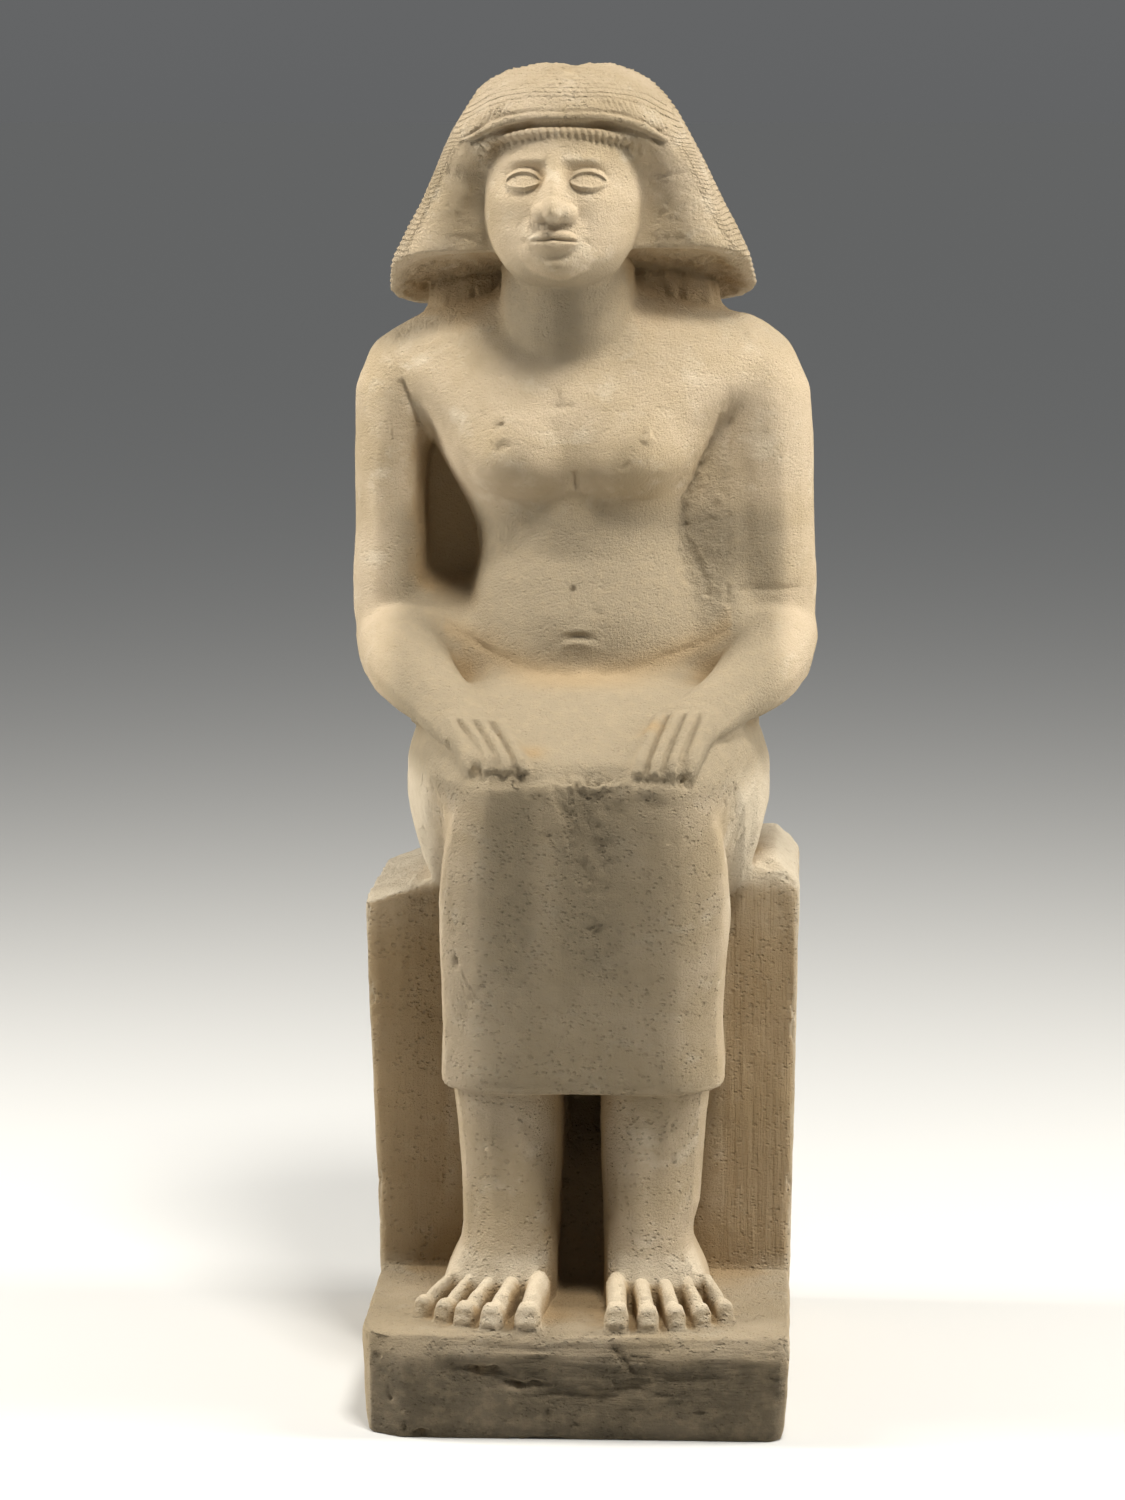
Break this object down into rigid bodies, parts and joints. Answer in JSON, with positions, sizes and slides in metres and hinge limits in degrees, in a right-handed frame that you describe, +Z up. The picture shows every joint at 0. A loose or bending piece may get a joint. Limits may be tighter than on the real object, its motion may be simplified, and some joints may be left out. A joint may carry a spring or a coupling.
{
  "type": "seated stone statue",
  "caption": "Limestone figure of a seated man in a flaring wig and long kilt, hands flat on the lap, carved in one piece with a block seat and low base.",
  "frame": {"origin": "middle of the base's underside, below the seat's front edge", "axes": "+Z up; the figure faces -Y, so its right arm is on -X"},
  "size_m": [0.2024, 0.2345, 0.56],
  "materials": {
    "limestone": "matt, fine grained and pitted"
  },
  "bodies": {
    "root": {"seated_statue": "limestone"}
  },
  "joints": []
}
